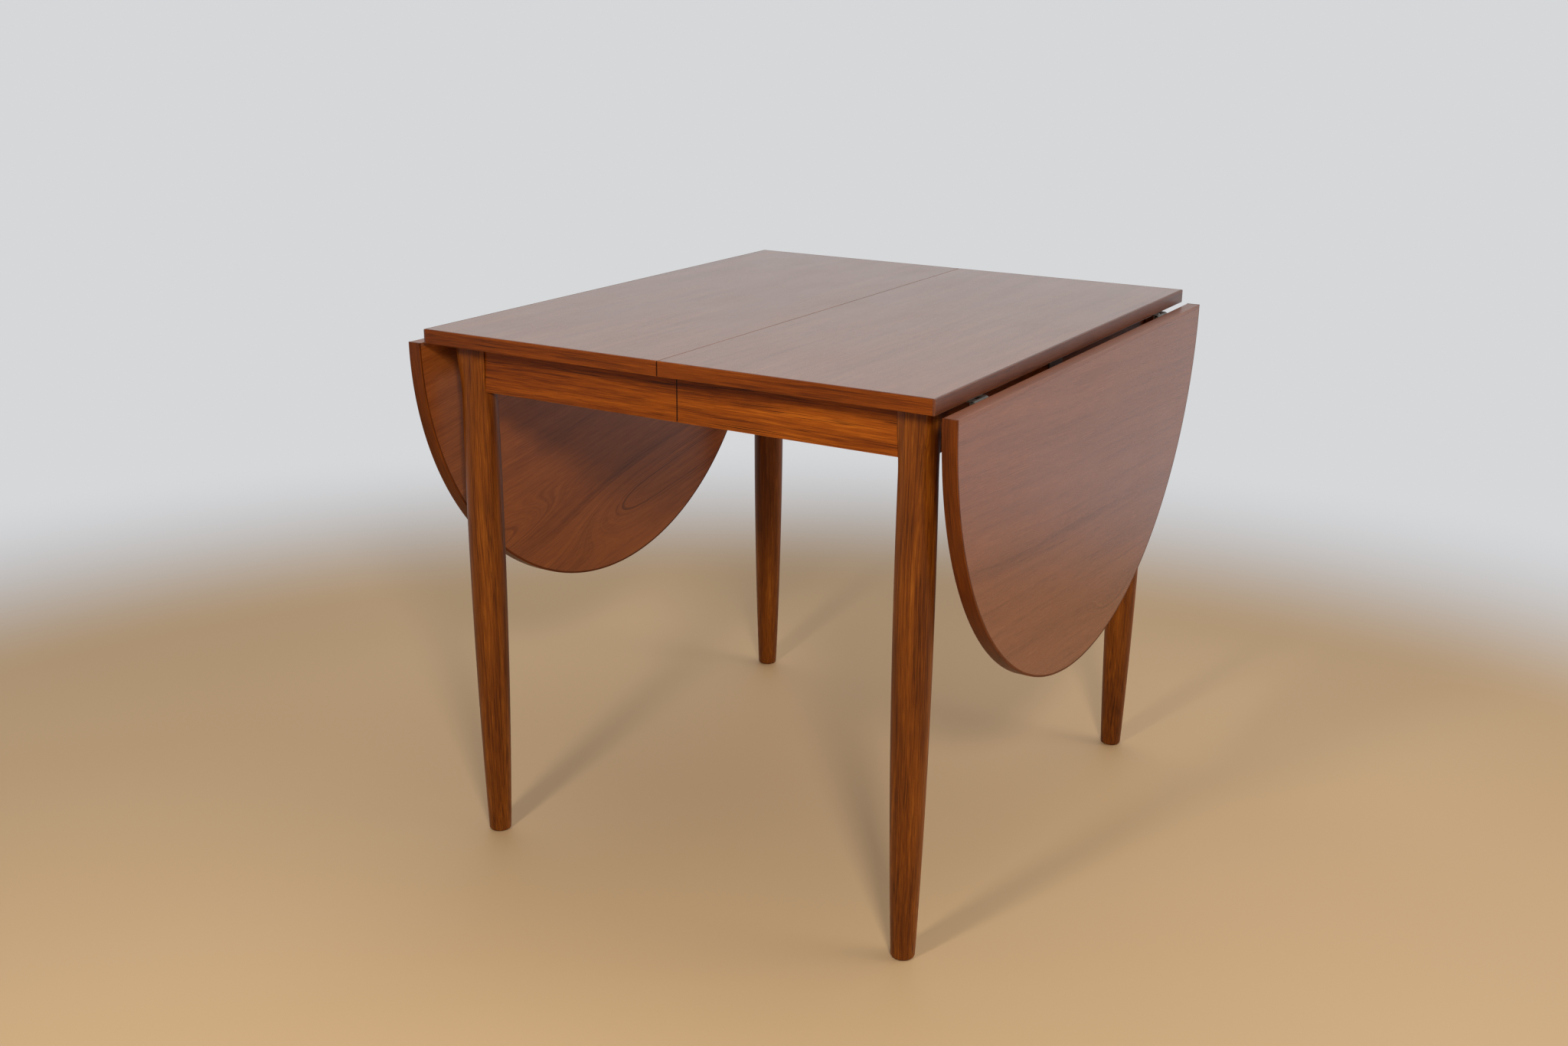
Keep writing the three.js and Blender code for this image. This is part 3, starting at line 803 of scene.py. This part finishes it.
def notched(bm, cutters):
    """Cut boxes out of a shape with exact Booleans, and take the result back as a bmesh."""
    whole = helper_object(bm)
    tools = [helper_object(cutter) for cutter in cutters]
    for tool in tools:
        modifier = whole.modifiers.new("notch", "BOOLEAN")
        modifier.operation = "DIFFERENCE"
        modifier.solver = "EXACT"
        modifier.object = tool
    mesh = bpy.data.meshes.new_from_object(whole.evaluated_get(bpy.context.evaluated_depsgraph_get()))
    cut = bmesh.new()
    cut.from_mesh(mesh)
    bpy.data.meshes.remove(mesh)
    for holder in [whole, *tools]:
        bpy.data.meshes.remove(holder.data)
    return cut


def rail_seats(end):
    """Two boxes that reach past the leg and past its top, so that both notches are open there."""
    gap, past_leg, past_top = 0.3 * mm, 40 * mm, 5 * mm
    top = underside + past_top
    sideways = sorted([end * (rail_high.y + gap), end * (rail_low.y - gap)])
    long_rail = board((leg_x - past_leg, sideways[0], rail_bottom - gap), (leg_x - seat, sideways[1], top))
    inwards = sorted([end * (leg_y - seat), end * (leg_y - past_leg)])
    end_rail = board((end_low.x - gap, inwards[0], rail_bottom - gap), (end_high.x + gap, inwards[1], top))
    return [long_rail, end_rail]


for side in sides:
    half = f"{side}_half"
    for end in ends:
        place = corner(side, end)
        leg = on_side(notched(leg_shape(end), rail_seats(end)), side)
        add_piece(f"turned_leg_{place}", leg, half, "solid_teak", teak_leg, f"leg_{place}", crease=24)

# %% [markdown]
# ## The rails
# Four half rails run along the front and back, and meet in the middle when the table is
# closed. One rail runs across each end. They are plain boards with softened edges. All are
# made from the right half's boxes, because the split is then always on the inward side. The
# rails meet closer than the tops do, so that no light from behind shines through the split.

# %% Rails
rail_arris = 0.8 * mm
closed_gap = 0.06 * mm


def half_rail(end):
    low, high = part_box(f"rail_{corner('right', end)}")
    bm = board((closed_gap, low.y, low.z), high)
    return rounded(open_split(bm, split_arris=1.1 * mm), rail_arris)


for side in sides:
    half = f"{side}_half"
    for end in ends:
        node = f"rail_{corner(side, end)}"
        add_piece(f"softened_{node}", on_side(half_rail(end), side), half, "solid_teak", teak_long, node)
    rail = on_side(rounded(board(end_low, end_high), rail_arris), side)
    add_piece(f"softened_rail_end_{side}", rail, half, "solid_teak", teak_cross, f"rail_end_{side}")

# %% [markdown]
# ## Blocks, bolts and wing nuts
# A beech block is glued into each corner under the top. A bolt runs from the leg through the
# block, and a wing nut pulls the leg tight against the rails. The bolt's thread is turned as
# a row of ridges, which at this size looks the same as a true screw line.

# %% Corner fittings
block_low, block_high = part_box("corner_block_back_right")
block_inset = leg_y - rail_low.y
block_reach = leg_x - block_low.x
leg_gap = leg_radius(rail_bottom) + 0.3 * mm
block_back = (block_reach + block_inset) / math.sqrt(2)
bolt_height = underside - 30 * mm


def corner_block(end):
    near = leg_gap * math.sqrt(2) - block_inset
    plan = [(near, block_inset), (block_reach, block_inset), (block_inset, block_reach), (block_inset, near)]
    points = [(leg_x - x, end * (leg_y - y), block_low.z) for x, y in plan]
    return rounded(prism(points, (0, 0, block_high.z - block_low.z)), rail_arris, segments=3)


def towards_middle(bm, end):
    """Lay a shape that was turned round Z along the line from a leg in to the middle."""
    return aim(bm, (leg_x, end * leg_y, bolt_height), (-1, -end, 0))


def bolt(end):
    radius, root_share, tip_share = 4 * mm, 0.84, 0.7
    pitch, in_leg, past_block = 1.25 * mm, 16 * mm, 14 * mm
    start, stop = leg_gap - in_leg, block_back + past_block
    profile = [(0, start), (radius, start)]
    for i in range(int((stop - start) / pitch) - 1):
        height = start + i * pitch
        profile += [(radius, height + 0.3 * pitch), (radius * root_share, height + 0.8 * pitch)]
    return towards_middle(turned(profile + [(radius * tip_share, stop), (0, stop)], 20), end)


def wing_nut(end):
    """Drawn in millimetres, and then scaled to metres."""
    hub = turned([(0, 0), (6.4, 0), (7, 0.6), (7, 2), (5.4, 3.2), (5, 8.4), (4.4, 9), (0, 9)], 28)
    plan = [(3, 2.4), (6.3, 2.4), (13, 4.5), (18, 7), (18, 12), (11, 10.5), (3, 8)]
    thickness = 2.5
    wings = []
    for way in ends:
        wing = prism([(way * x, -thickness / 2, z) for x, z in plan], (0, thickness, 0))
        wings.append(rounded(wing, 0.9, segments=3))
    bm = joined(hub, *wings)
    bmesh.ops.scale(bm, vec=(mm, mm, mm), verts=bm.verts)
    bmesh.ops.translate(bm, vec=(0, 0, block_back), verts=bm.verts)
    return towards_middle(bm, end)


for side in sides:
    half = f"{side}_half"
    for end in ends:
        place = corner(side, end)
        fittings = [
            ("beech_block", corner_block(end), "plain_wood", beech_upright, "corner_block"),
            ("threaded_bolt", bolt(end), "zinc", zinc, "leg_bolt"),
            ("winged_nut", wing_nut(end), "zinc", zinc, "wing_nut"),
        ]
        for name, shape, slot, material, node in fittings:
            add_piece(f"{name}_{place}", on_side(shape, side), half, slot, material, f"{node}_{place}")

# %% [markdown]
# ## Runners and dowels
# The runners keep the exact section of the solid model, because their dovetails must slide.
# So a copy of each solid is merged and its flat faces are joined up, and then its edges are
# softened. The three dowels are turned, with a chamfer at each end to find their holes.

# %% Runners and dowels
def softened_copy(node, radius):
    bm = new_shape()
    bm.from_mesh(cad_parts[node].data)
    bmesh.ops.remove_doubles(bm, verts=bm.verts, dist=0.01 * mm)
    bmesh.ops.dissolve_limit(bm, angle_limit=math.radians(1), verts=bm.verts, edges=bm.edges)
    return rounded(bm, radius, segments=2)


for place in ["front", "back"]:
    for bar in ["left", "middle", "right"]:
        node = f"runner_{place}_{bar}"
        body = "middle_runners" if bar == "middle" else f"{bar}_half"
        add_piece(f"sliding_{node}", softened_copy(node, 0.25 * mm), body, "plain_wood", beech_long, node)

for place in ["front", "middle", "back"]:
    low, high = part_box(f"dowel_{place}")
    outline = rod_outline((high.y - low.y) / 2, high.x - low.x, chamfer=1.2 * mm)
    pin = aim(turned(outline, 28), (low.x, (low.y + high.y) / 2, (low.z + high.z) / 2), out)
    add_piece(f"turned_dowel_{place}", pin, "left_half", "plain_wood", beech_long, f"dowel_{place}")

# %% [markdown]
# ## Screws
# Every piece of ironwork is held by slotted countersunk screws. A head is a disc that is cut
# across twice, and the strip between the cuts is pushed in to make the slot.

# %% A slotted screw head
def screw_head(place, direction, turn, radius=3.2 * mm):
    half_slot, slot_depth, thickness = 0.5 * mm, 0.5 * mm, 0.9 * mm
    bm = new_shape()
    bmesh.ops.create_circle(bm, cap_ends=True, segments=20, radius=radius)
    for way in ends:
        bmesh.ops.bisect_plane(bm, geom=bm.verts[:] + bm.edges[:] + bm.faces[:],
                               plane_co=(way * half_slot, 0, 0), plane_no=(1, 0, 0))
    strip = [face for face in bm.faces if abs(face.calc_center_median().x) < half_slot]
    pull(bm, strip, (0, 0, -slot_depth))
    border = [edge for edge in bm.edges if edge.is_boundary]
    skirt = bmesh.ops.extrude_edge_only(bm, edges=border)["geom"]
    bmesh.ops.translate(bm, vec=(0, 0, -thickness), verts=verts_among(skirt))
    bmesh.ops.holes_fill(bm, edges=[edge for edge in bm.edges if edge.is_boundary], sides=0)
    bmesh.ops.rotate(bm, cent=(0, 0, 0), matrix=Matrix.Rotation(turn, 3, "Z"), verts=bm.verts)
    return aim(bm, Vector(place) + Vector(direction) * 0.25 * mm, direction)


def screw_places(firsts, seconds):
    """Places in rows, given in millimetres, each with its number."""
    return enumerate([(first * mm, second * mm) for second in seconds for first in firsts])


# %% [markdown]
# ## The hinges
# Two hinges carry each leaf. A plate is let in under the top and a flap is screwed to the
# leaf's inner face, and they share a pin in the gap between top and leaf, where the bright
# knuckles can be seen from above.

# %% Hinges
def tube(radius, bore, start, stop, x, z):
    """A knuckle round a line along Y, with softened rims."""
    outline = rod_outline(radius, stop - start, chamfer=0.4 * mm, bore=bore) + [(bore, 0)]
    return aim(turned(outline, 28), (x, start, z), back)


def metal_plate(low, high, is_corner, radius=3 * mm):
    """A thin plate whose corners, picked by a test on their edges, are cut round."""
    bm = board(low, high)
    bevel(bm, [edge for edge in bm.edges if is_corner(edge)], radius, 5, plain_mark)
    return rounded(bm, 0.25 * mm, segments=2)


def runs_along(edge, axis):
    first, second = edge.verts
    return abs(first.co[axis] - second.co[axis]) > 0.9 * (first.co - second.co).length


def hinge_pieces(end):
    pin_low, pin_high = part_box(f"hinge_pin_{corner('right', end)}")
    plate_low, plate_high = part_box(f"hinge_plate_{corner('right', end)}")
    flap_low, flap_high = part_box(f"hinge_flap_{corner('right', end)}")
    pin_x, pin_z = (pin_low.x + pin_high.x) / 2, (pin_low.z + pin_high.z) / 2
    middle, half = (plate_low.y + plate_high.y) / 2, (plate_high.y - plate_low.y) / 2
    thick, knuckle, bore, gap = 2 * mm, plate_high.x - pin_x, 2.1 * mm, 0.25 * mm
    flap_reach, knuckle_start = half / 3 - gap, half / 3 + gap
    bend = pin_x - knuckle - 0.5 * mm

    plate = [metal_plate((plate_low.x, middle - half, underside - thick), (bend, middle + half, underside),
                         lambda edge: runs_along(edge, 2) and edge.verts[0].co.x < plate_low.x + 1 * mm)]
    for start, stop in [(middle - half, middle - knuckle_start), (middle + knuckle_start, middle + half)]:
        plate.append(board((bend - 3 * mm, start, underside - thick), (pin_x, stop, underside - 0.3 * mm)))
        plate.append(tube(knuckle, bore, start, stop, pin_x, pin_z))
    for i, (x, y) in screw_places((6, 19), (-12, 12)):
        plate.append(screw_head((plate_low.x + x, middle + y, underside - thick), down, 0.7 * i + end))

    flap_top, flap_x = pin_z - knuckle - 0.5 * mm, flap_high.x - thick
    start, stop = middle - flap_reach, middle + flap_reach
    flap = [metal_plate((flap_x, middle - half, flap_low.z), (flap_high.x, middle + half, flap_top),
                        lambda edge: runs_along(edge, 0) and edge.verts[0].co.z < flap_low.z + 1 * mm)]
    flap.append(board((flap_x, start, flap_top - 3 * mm), (flap_high.x, stop, pin_z)))
    flap.append(tube(knuckle, bore, start, stop, pin_x, pin_z))
    for i, (z, y) in screw_places((8, 30), (-12, 12)):
        flap.append(screw_head((flap_x, middle + y, flap_low.z + z), inward, 0.9 * i - end))

    outline = rod_outline((pin_high.z - pin_low.z) / 2, pin_high.y - pin_low.y, chamfer=0.3 * mm)
    pin = turned(outline, 20)
    return joined(*plate), joined(*flap), aim(pin, (pin_x, pin_low.y, pin_z), back)


for side in sides:
    half, leaf = f"{side}_half", f"leaf_{side}"
    parts = [("rolled", "plate", half), ("rolled", "flap", leaf), ("bright", "pin", half)]
    for end in ends:
        for (kind, part, body), shape in zip(parts, hinge_pieces(end)):
            node = f"hinge_{part}_{corner(side, end)}"
            add_piece(f"{kind}_{node}", on_side(shape, side), body, "zinc", zinc, node)

# %% [markdown]
# ## The leaf supports
# Under each leaf hangs a wooden arm in a steel bracket. When the leaf is raised, the arm
# swings out and its round end comes to rest behind a ramp on the leaf.

# %% Leaf supports
bracket_low, bracket_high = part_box("stay_bracket_right")
arm_low, arm_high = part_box("stay_arm_right")
stay_low, stay_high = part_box("stay_pin_right")
stay_x, stay_z = (stay_low.x + stay_high.x) / 2, (stay_low.z + stay_high.z) / 2


def stay_bracket():
    """A plate on the end rail, and two cheeks that stand out from it and hold the arm's pin."""
    plate_end = bracket_low.x + 2.5 * mm
    cheek_inner, cheek_outer, half_height = 9.5 * mm, 12 * mm, 9 * mm
    shapes = [metal_plate(bracket_low, (plate_end, bracket_high.y, bracket_high.z),
                          lambda edge: runs_along(edge, 0), radius=4 * mm)]
    for way in ends:
        near, far = sorted([way * cheek_inner, way * cheek_outer])
        low = (plate_end - 1 * mm, near, stay_z - half_height)
        high = (bracket_high.x, far, stay_z + half_height)
        shapes.append(metal_plate(low, high, lambda edge: runs_along(edge, 1) and edge.verts[0].co.x > stay_x,
                                  radius=6.5 * mm))
    for i, (y, z) in screw_places((-16, 16), (7, 43)):
        shapes.append(screw_head((plate_end, y, bracket_low.z + z), out, 0.8 * i + 0.3))
    return joined(*shapes)


def stay_pin():
    """A rivet: a shank between two low heads."""
    reach, head = (stay_high.y - stay_low.y) / 2, 1.1 * mm
    shank_radius, head_radius = 3 * mm, 4.6 * mm
    low_end = [(0, -reach - head), (2.6 * mm, -reach - head), (4.4 * mm, -reach - 0.4 * head),
               (head_radius, -reach), (shank_radius, -reach)]
    outline = low_end + [(radius, -height) for radius, height in reversed(low_end)]
    return aim(turned(outline, 24), (stay_x, 0, stay_z), back)


def stay_arm():
    """A circle that is pulled apart along Z, and then pulled into a bar along Y."""
    radius = (arm_high.x - arm_low.x) / 2
    bm = new_shape()
    circle = bmesh.ops.create_circle(bm, cap_ends=True, segments=48, radius=radius)["verts"]
    bmesh.ops.rotate(bm, cent=(0, 0, 0), matrix=Matrix.Rotation(math.pi / 2, 3, "X"), verts=circle)
    bmesh.ops.translate(bm, vec=(stay_x, arm_low.y, stay_z), verts=circle)
    lower_half = [vert for vert in circle if vert.co.z < stay_z - 0.01 * mm]
    bmesh.ops.translate(bm, vec=(0, 0, arm_low.z + radius - stay_z), verts=lower_half)
    pull(bm, bm.faces[:], (0, arm_high.y - arm_low.y, 0))
    return rounded(facing_out(bm))


def keeper_screws():
    _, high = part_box("stay_keeper_right")
    depth, drop, radius = 3 * mm, 9 * mm, 2.8 * mm
    heads = [screw_head((high.x - depth, y * mm, high.z - drop), inward, y * 0.2, radius) for y in (-9, 9)]
    return joined(*heads)


for side in sides:
    half, leaf, stay = f"{side}_half", f"leaf_{side}", f"stay_{side}"
    keeper = softened_copy("stay_keeper_right", rail_arris)
    fittings = [
        ("folded_bracket", stay_bracket(), half, "zinc", zinc, "stay_bracket"),
        ("riveted_pin", stay_pin(), half, "zinc", zinc, "stay_pin"),
        ("swinging_arm", stay_arm(), stay, "solid_teak", teak_leg, "stay_arm"),
        ("ramped_keeper", keeper, leaf, "solid_teak", teak_cross, "stay_keeper"),
    ]
    for name, shape, body, slot, material, node in fittings:
        add_piece(f"{name}_{side}", on_side(shape, side), body, slot, material, f"{node}_{side}")
    add_piece(f"keeper_screws_{side}", on_side(keeper_screws(), side), leaf, "zinc", zinc)
print("pieces made:", len(made), "with", sum(len(piece.data.polygons) for piece in made), "faces")

# %% [markdown]
# ## Backdrop and floor
# The table stands on a plain warm floor that fades to the pale grey of the backdrop, as on a
# photographer's paper sweep. Beyond the fade, rays that look straight or by gloss meet the
# backdrop's own brightness, so floor and backdrop join without a line. No more light falls
# on the table because of it, and the floor near the table keeps its shadows.

# %% Floor
backdrop = colour(214, 215, 217)
warm_middle = (0.3, -0.8)
fade_start, fade_stop = 1.75, 2.9
sheet_reach = 40


def seen_directly(tree):
    """1 for the rays of the camera, of gloss and of glass, and 0 for those that only carry light."""
    kinds = [Wire.make(tree, "ShaderNodeLightPath", {}, {}, output=kind)
             for kind in ("Is Camera Ray", "Is Glossy Ray", "Is Transmission Ray")]
    return kinds[0].larger(kinds[1].larger(kinds[2]))


def floor_surface():
    material, tree = new_surface("studio_floor")
    place = object_place(tree)
    x, y = place.axes()[:2]
    off_x, off_y = x - warm_middle[0], y - warm_middle[1]
    squared = off_x * off_x + off_y * off_y
    far = squared.math("SQRT", squared).rise(fade_start, fade_stop)
    near_shade = (grain_noise(place, 700, 700) + 0.5).ramp([colour(194, 158, 112), colour(202, 168, 124)])
    shade = far.blend(near_shade, backdrop)
    paper = Wire.make(tree, "ShaderNodeBsdfPrincipled", {}, {"Base Color": shade, "Roughness": 0.6})
    glow = Wire.make(tree, "ShaderNodeEmission", {}, {"Color": backdrop, "Strength": 1.0})
    glowing = seen_directly(tree) * far
    finish_surface(tree, Wire.make(tree, "ShaderNodeMixShader", {}, {0: glowing, 1: paper, 2: glow}))
    return material


sheet = bmesh.new()
bmesh.ops.create_grid(sheet, x_segments=1, y_segments=1, size=sheet_reach)
floor_mesh = bpy.data.meshes.new("floor")
sheet.to_mesh(floor_mesh)
sheet.free()
floor_mesh.materials.append(floor_surface())
floor = bpy.data.objects.new("floor", floor_mesh)
bpy.context.scene.collection.objects.link(floor)

# %% [markdown]
# ## Light
# The two front legs throw shadows that spread apart, so the main lamp stands close in front of
# the table. Drawn back on the floor, the shadows meet at its foot, and the depth of the dark
# shadow under the top's front edge gives its height. A second lamp stands above the camera:
# it throws the rail's shadow on the left leaf, and the legs are lit almost evenly across. The
# room behind the table is bright and the room in front is dim, so the light of the world is
# pale towards +Y and weak towards -Y.

# %% World and lamps
world = bpy.data.worlds.new("studio")
world.use_nodes = True
bpy.context.scene.world = world
sky = world.node_tree
sky.nodes.clear()
towards_back = Wire.make(sky, "ShaderNodeTexCoord", {}, {}, output=0).axes()[1].rise(-0.25, 0.45)
seen = seen_directly(sky)
front_light, back_light = 0.03, 1.3
strength = seen + (1 - seen) * (front_light + towards_back * back_light)
background = Wire.make(sky, "ShaderNodeBackground", {}, {"Color": backdrop, "Strength": strength})
Wire.make(sky, "ShaderNodeOutputWorld", {}, {"Surface": background})


def lamp(name, place, target, size, power):
    """A round lamp. The lacquer mirrors the pale room and not the lamps, so no white patch burns out."""
    data = bpy.data.lights.new(name, "AREA")
    data.shape = "DISK"
    data.size = size
    data.energy = power
    holder = bpy.data.objects.new(name, data)
    holder.visible_glossy = False
    aimed = (Vector(target) - Vector(place)).to_track_quat("-Z", "Y")
    holder.matrix_world = Matrix.Translation(place) @ aimed.to_matrix().to_4x4()
    bpy.context.scene.collection.objects.link(holder)


lamp("main_lamp", (-0.05, -1.87, 1.42), (0, 0, 0.4), 0.25, 13)
lamp("second_lamp", (1.6, -2.2, 1.82), (0, 0, 0.4), 0.4, 42)
lamp("right_fill", (3.0, 1.0, 1.4), (0.2, 0, 0.4), 1.8, 22)
lamp("overhead_fill", (0.2, -0.2, 3.0), (0, 0, 0.5), 2.4, 12)
bpy.context.scene.view_settings.view_transform = "Standard"
